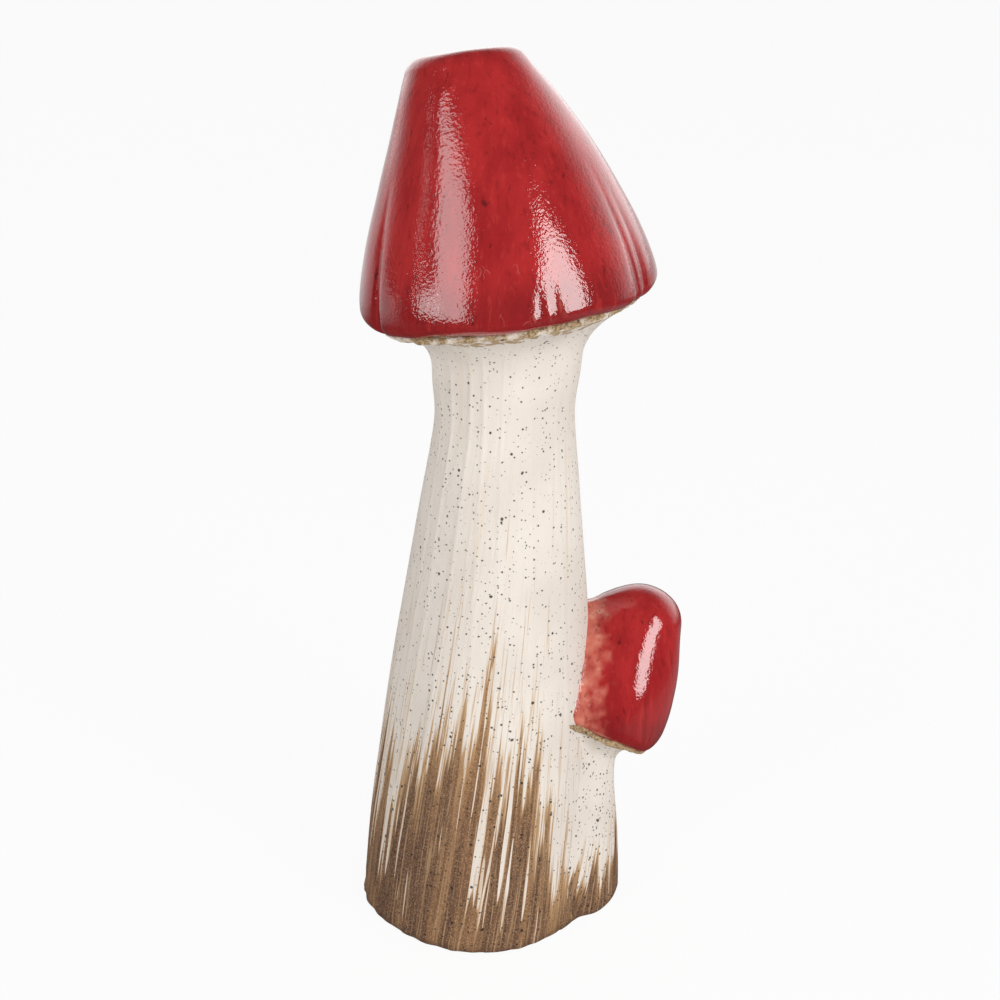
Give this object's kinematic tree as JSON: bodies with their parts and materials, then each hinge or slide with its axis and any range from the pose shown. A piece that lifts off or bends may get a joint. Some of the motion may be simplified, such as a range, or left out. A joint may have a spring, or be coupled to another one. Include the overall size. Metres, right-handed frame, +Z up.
{
  "type": "mushroom ornament",
  "caption": "Free-standing ceramic mushroom with a leaning speckled stem, a red glazed bell cap with a cut-off top, and a small mushroom growing from its side.",
  "frame": {"origin": "middle of the main foot, on the face that the ornament stands on", "axes": "+Z up from the table, +X to the side with the small mushroom, +Y to the back"},
  "size_m": [0.1113, 0.093, 0.2918],
  "materials": {
    "speckled_slip": "matt off-white slip with iron specks",
    "red_glaze": "glossy red glaze",
    "luting_clay": "rough brown clay"
  },
  "bodies": {
    "root": {"main_stem": "speckled_slip", "floor_disc": "speckled_slip", "main_cap": "red_glaze", "main_cap_seam": "luting_clay", "side_stem": "speckled_slip", "side_cap": "red_glaze", "side_cap_seam": "luting_clay", "side_stem_seam": "speckled_slip"}
  },
  "joints": []
}
